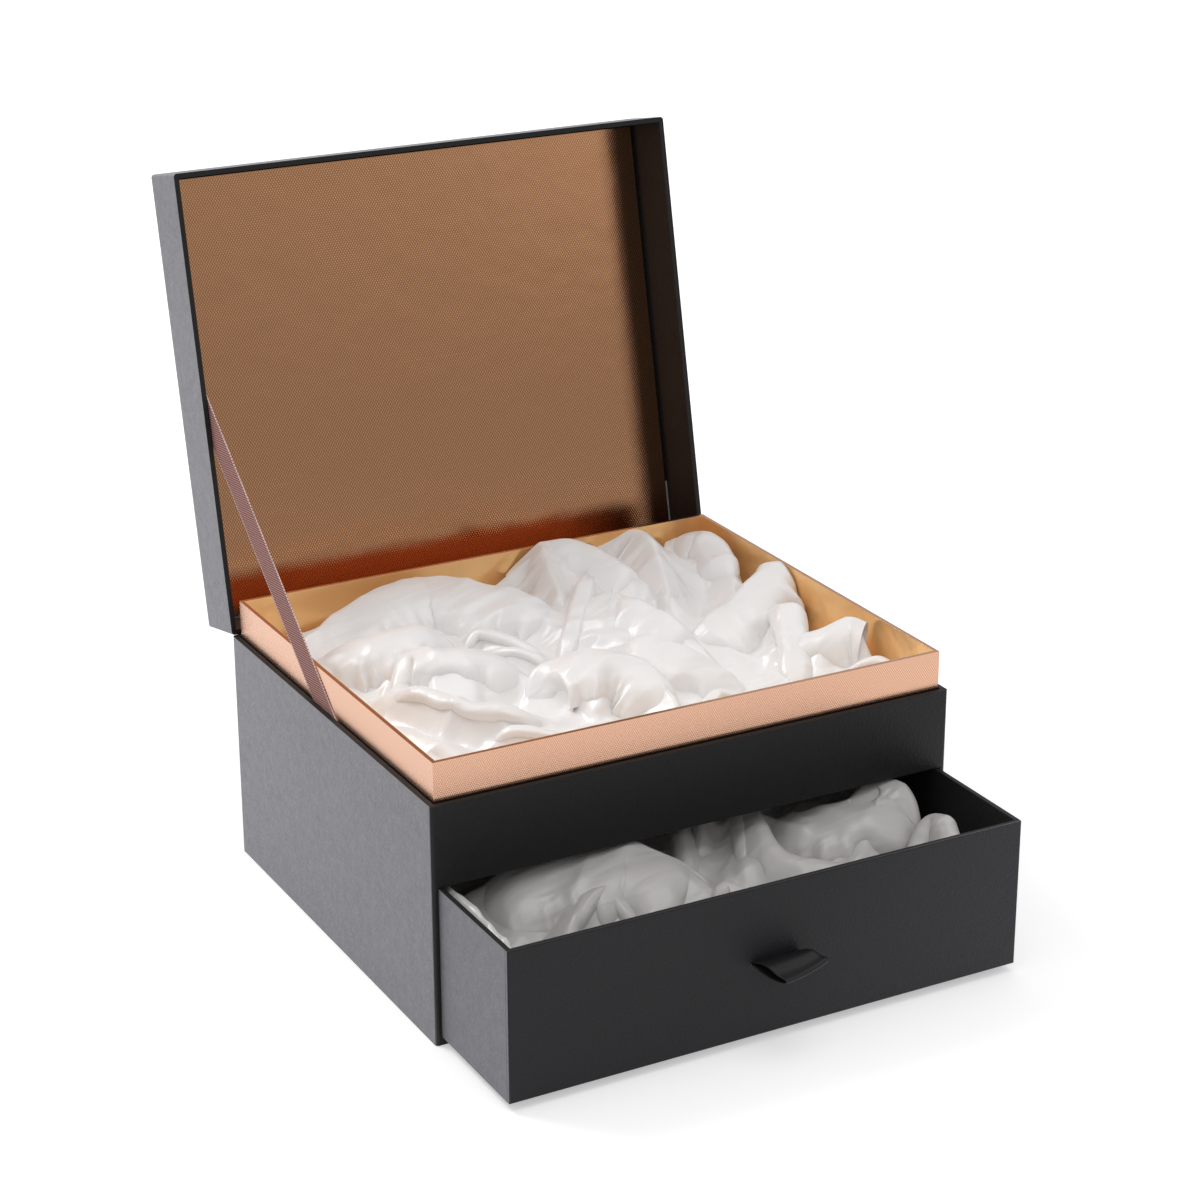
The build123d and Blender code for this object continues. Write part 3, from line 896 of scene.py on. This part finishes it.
# ---------------------------------------------------------------- foam pads
def foam_pad(name, node, body):
    """A flat pad that fills the node's box, with soft edges and a slight crown."""
    low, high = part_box(node)
    pull_in, dip, edge = 0.0004, 0.07, 0.0012
    half = [(high[i] - low[i]) / 2 for i in range(3)]
    mid = (low + high) / 2
    bm = bmesh.new()
    bmesh.ops.create_cube(bm, size=2.0)
    bmesh.ops.subdivide_edges(bm, edges=bm.edges[:], cuts=26, use_grid_fill=True)
    for v in bm.verts:
        x, y, z = v.co
        crown = (1 - x**4) * (1 - y**4)
        v.co = Vector((
            mid.x + x * (half[0] - pull_in * (1 - z * z)),
            mid.y + y * (half[1] - pull_in * (1 - z * z)),
            mid.z + z * half[2] * (1.0 if z < 0 else 1.0 - dip * (1.0 - crown)),
        ))
    mesh = bpy.data.meshes.new(name)
    bm.to_mesh(mesh)
    bm.free()
    mesh.polygons.foreach_set("use_smooth", [True] * len(mesh.polygons))
    obj = new_object(name, mesh)
    bevel = obj.modifiers.new("edges", "BEVEL")
    bevel.width, bevel.segments, bevel.limit_method = edge, 3, "ANGLE"
    dress(obj, "foam")
    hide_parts(node)
    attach(obj, body)


foam_pad("tray_foam", "tray_foam_pad", "case")
foam_pad("drawer_foam", "drawer_foam_pad", "drawer")


# ---------------------------------------------------------------- hinge cloth
def closed_strip(name, verts, nu, nv, uvs):
    """Joins two layers of nu by nv points at their edges into one closed strip."""
    top = grid_faces(nu, nv)
    size = nu * nv
    faces = top + [tuple(size + k for k in reversed(f)) for f in top]
    ring = [(0, j) for j in range(nv)] + [(i, nv - 1) for i in range(1, nu)]
    ring += [(nu - 1, j) for j in range(nv - 2, -1, -1)] + [(i, 0) for i in range(nu - 2, 0, -1)]
    ids = [i * nv + j for i, j in ring]
    for a, b in zip(ids, ids[1:] + ids[:1]):
        faces.append((b, a, size + a, size + b))
    obj = mesh_from(name, verts, faces, True, uvs)
    bm = bmesh.new()
    bm.from_mesh(obj.data)
    bmesh.ops.recalc_face_normals(bm, faces=bm.faces[:])
    bm.to_mesh(obj.data)
    bm.free()
    return obj


def strip_mesh(name, centre, across, thickness, normals, uv_along, uv_across):
    """A closed strip of cloth: centre line points, an across direction and a thickness."""
    nu, verts, uvs = len(centre), [], []
    nv = len(across[0])
    for side in (1, -1):
        for i in range(nu):
            for j in range(nv):
                lift = Vector(normals[i]) * (side * thickness / 2)
                verts.append(Vector(centre[i]) + Vector(across[i][j]) + lift)
                uvs.append((uv_along[i], uv_across[j]))
    return closed_strip(name, verts, nu, nv, uvs)


HINGE_X, LEAF, CREASE, CREASE_LIFT, CLOTH_T = 122.0, 18.0, 2.0, 0.15, 0.25
crease_turn = radians(LID_ANGLE)
line, normals = [], []
cloth_y = HINGE.y + CLOTH_T / 2
for t in np.linspace(0, 1, 12):
    line.append((0, cloth_y, HINGE.z - LEAF + t * (LEAF - CREASE)))
    normals.append((0, 1, 0))
for t in np.linspace(0, 1, 13)[1:-1]:
    turn = t * crease_turn
    start = Vector((0, cloth_y, HINGE.z - CREASE))
    end = lid_open((0, cloth_y, HINGE.z + CREASE))
    corner = Vector((0, cloth_y, HINGE.z + CREASE_LIFT))
    p = start * (1 - t) ** 2 + corner * (2 * t * (1 - t)) + end * t**2
    line.append(tuple(p))
    normals.append((0, cos(turn), -sin(turn)))
for t in np.linspace(0, 1, 12):
    p = lid_open((0, cloth_y, HINGE.z + CREASE + t * (LEAF - CREASE)))
    line.append(tuple(p))
    n = lid_open(HINGE + Vector((0, 1, 0))) - HINGE
    normals.append(tuple(n))
lengths = [0.0]
for a, b in zip(line, line[1:]):
    lengths.append(lengths[-1] + (Vector(b) - Vector(a)).length)
cols = np.linspace(-HINGE_X, HINGE_X, 60)
hinge_cloth = strip_mesh(
    "hinge_cloth_strip",
    [Vector(p) * MM for p in line],
    [[Vector((c, 0, 0)) * MM for c in cols]] * len(line),
    CLOTH_T * MM,
    normals,
    [s * MM for s in lengths],
    [c * MM for c in cols],
)
dress(hinge_cloth, "hinge_cloth")
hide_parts("hinge_cloth_case_leaf", "hinge_cloth_lid_leaf")
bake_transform(hinge_cloth)


# ---------------------------------------------------------------- stay ribbon
STAY_W, STAY_T, STAY_X = 15.0, 0.35, -122.25
STAY_CASE_Y, STAY_LID_REACH = 6.0, 97.0
STAY_CASE_TAIL, STAY_LID_TAIL = 20.0, 22.0
low = Vector((STAY_X, STAY_CASE_Y, CASE_H))
high = lid_open((STAY_X, HINGE.y - STAY_LID_REACH, HINGE.z))
along = (high - low).normalized()
side = Vector((0, -along.z, along.y))
foot = low - along * STAY_CASE_TAIL
head = high + along * STAY_LID_TAIL
length = (head - foot).length
cols = np.linspace(-STAY_W / 2, STAY_W / 2, 9)
rows = np.linspace(0, length, 120)
centre, across = [], []
for s in rows:
    centre.append((foot + along * s) * MM)
    across.append([side * c * MM for c in cols])
stay = strip_mesh(
    "stay_ribbon_strip",
    centre,
    across,
    STAY_T * MM,
    [(1, 0, 0)] * len(rows),
    [s * MM for s in rows],
    [c * MM for c in cols],
)
dress(stay, "grosgrain_ribbon")
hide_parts("stay_ribbon")
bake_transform(stay)


# ---------------------------------------------------------------- drawer pull
PULL_W, PULL_T, PULL_X = 22.0, 0.38, 0.5


def pull_loop():
    """A satin ribbon folded into a loop that leans and twists a little."""
    half, count = PULL_W / 2, 23
    mouth_y, slit_z = -DRAWER_PULL - CASE_D / 2, 37.55
    nose, shift, lean = 15.2, 5.2, radians(14.0)
    # each layer runs as (distance out of the slit, height over its middle)
    lower = [(-3.0, -0.42), (0.0, -0.42), (4.0, -1.3), (9.0, -1.9), (13.0, -1.5), (nose, -0.7)]
    upper = [(nose + 0.75, 0.0), (nose, 0.75), (12.0, 1.1), (8.0, 2.6), (4.0, 2.1)]
    upper += [(0.0, 0.45), (-3.0, 0.45)]
    path = spline([(a, b, 0.0) for a, b in lower + upper], 0.35)[:, :2]
    verts, uvs = [], []
    d = np.gradient(path, axis=0)
    d /= np.linalg.norm(d, axis=1)[:, None]
    run = np.concatenate([[0], np.cumsum(np.linalg.norm(np.diff(path, axis=0), axis=1))])
    size = (len(path), count)
    for layer in (0.0, -PULL_T):
        for (out, up), (du, dv), s in zip(path, d, run):
            for c in np.linspace(-half, half, count):
                o = out - layer * dv
                h = up + layer * du
                far = max(0.0, min(1.0, out / nose))
                x = c + PULL_X + shift * far**1.3
                twist = lean * far
                side = c / half
                sag = far * (0.9 * side**2 - 1.2)
                z = slit_z + h * (1.0 + 0.15 * side * far) + sin(twist) * c * 0.55 + sag
                y = mouth_y - o * (1.0 - 0.10 * side * far) + 0.25 * abs(side) ** 3 * far
                verts.append(Vector((x, y, z)) * MM)
                uvs.append((s * MM, c * MM))
    return verts, uvs, size, run[-1]


pull_verts, pull_uvs, pull_size, pull_run = pull_loop()
pull = closed_strip("pull_ribbon_loop", pull_verts, *pull_size, pull_uvs)
dress(pull, "black_satin_ribbon")
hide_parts("pull_ribbon")
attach(pull, "drawer")


# ---------------------------------------------------------------- camera
az, el, roll = radians(CAM_AZ), radians(CAM_EL), radians(CAM_ROLL)
back = Vector((sin(az) * cos(el), -cos(az) * cos(el), sin(el)))
right = (-back).cross(Vector((0, 0, 1))).normalized()
up = right.cross(-back)
right, up = right * cos(roll) + up * sin(roll), up * cos(roll) - right * sin(roll)
cam = bpy.data.objects.new("camera", bpy.data.cameras.new("camera"))
scene.collection.objects.link(cam)
cam.matrix_world = Matrix((
    (right.x, up.x, back.x, 0),
    (right.y, up.y, back.y, 0),
    (right.z, up.z, back.z, 0),
    (0, 0, 0, 1),
))
cam.location = CAM_TARGET + back * CAM_DISTANCE
cam.data.sensor_width = CAM_SENSOR
cam.data.lens = CAM_FOCAL_PX / FRAME_PX * CAM_SENSOR
cam.data.clip_start, cam.data.clip_end = 0.05, 40.0
scene.camera = cam


# ---------------------------------------------------------------- stage and light
def stage_material():
    """White to the camera and to gloss, with the object's shadow left in it."""
    m = Nodes("stage_floor")
    m.finish(Base_Color=(0.80, 0.80, 0.80), Roughness=0.9, Specular_IOR_Level=0.1)
    out = m.tree.nodes["Material Output"]
    path = m.add("ShaderNodeLightPath")
    seen = m.math("MAXIMUM", path.outputs["Is Camera Ray"], path.outputs["Is Glossy Ray"])
    seen = m.math("MAXIMUM", seen, path.outputs["Is Transmission Ray"])
    glow = m.add("ShaderNodeEmission")
    glow.inputs[0].default_value = (1, 1, 1, 1)
    away = m.add("ShaderNodeVectorMath", operation="LENGTH")
    m.put(away.inputs[0], m.coords())
    reach = m.math("MULTIPLY", away.outputs["Value"], 0.25)
    far = m.ramp(reach, ((0.18, 0.42), (0.7, 0.75)))
    mirrored = m.math("MULTIPLY", seen, m.ramp(reach, ((0.18, 0.42), (0.5, 0.0))))
    m.put(glow.inputs[1], m.mix(path.outputs["Is Camera Ray"], mirrored, far))
    join = m.add("ShaderNodeAddShader")
    m.put(join.inputs[0], m.shader.outputs[0])
    m.put(join.inputs[1], glow.outputs[0])
    m.put(out.inputs["Surface"], join.outputs[0])
    return m.mat


def world_light(horizon, zenith, seen_level):
    """Dim at the horizon and bright overhead; white to the camera."""
    world = bpy.data.worlds.new("studio")
    scene.world = world
    world.use_nodes = True
    tree = world.node_tree
    background = tree.nodes["Background"]
    background.inputs[0].default_value = (1.0, 1.0, 1.0, 1)
    path = tree.nodes.new("ShaderNodeLightPath")
    mix = tree.nodes.new("ShaderNodeMix")
    mix.data_type = "FLOAT"
    tree.links.new(path.outputs["Is Camera Ray"], mix.inputs[0])
    up_part = tree.nodes.new("ShaderNodeSeparateXYZ")
    tree.links.new(tree.nodes.new("ShaderNodeTexCoord").outputs["Generated"], up_part.inputs[0])
    sky = tree.nodes.new("ShaderNodeMapRange")
    sky.inputs["From Min"].default_value, sky.inputs["From Max"].default_value = 0.02, 0.6
    sky.inputs["To Min"].default_value, sky.inputs["To Max"].default_value = horizon, zenith
    tree.links.new(up_part.outputs[2], sky.inputs["Value"])
    tree.links.new(sky.outputs["Result"], mix.inputs[2])
    mix.inputs[3].default_value = seen_level
    tree.links.new(mix.outputs[0], background.inputs[1])


def soft_light(name, place, size, power):
    light = bpy.data.lights.new(name, "AREA")
    light.shape = "RECTANGLE"
    light.size, light.size_y = size
    light.energy = power
    obj = bpy.data.objects.new(name, light)
    scene.collection.objects.link(obj)
    obj.location = place
    obj.rotation_mode = "QUATERNION"
    obj.rotation_quaternion = (LIGHT_AIM - Vector(place)).to_track_quat("-Z", "Y")


FLOOR_HALF, FLOOR_Z = 9.0, -0.0002
LIGHT_AIM = Vector((0, 0, 0.1))
floor_mesh = mesh_from(
    "floor",
    [(x * FLOOR_HALF, y * FLOOR_HALF, FLOOR_Z) for x, y in ((-1, -1), (1, -1), (1, 1), (-1, 1))],
    [(0, 1, 2, 3)],
    False,
)
floor_mesh.data.materials.append(stage_material())
world_light(horizon=0.34, zenith=0.72, seen_level=1.0)
soft_light("key", (-0.75, 0.95, 1.5), size=(0.75, 0.55), power=12.5)
soft_light("top", (0.2, -0.3, 1.9), size=(1.2, 1.0), power=5.0)
soft_light("front_right", (1.5, -1.6, 1.0), size=(1.2, 1.0), power=0.8)

scene.view_settings.view_transform = "Standard"
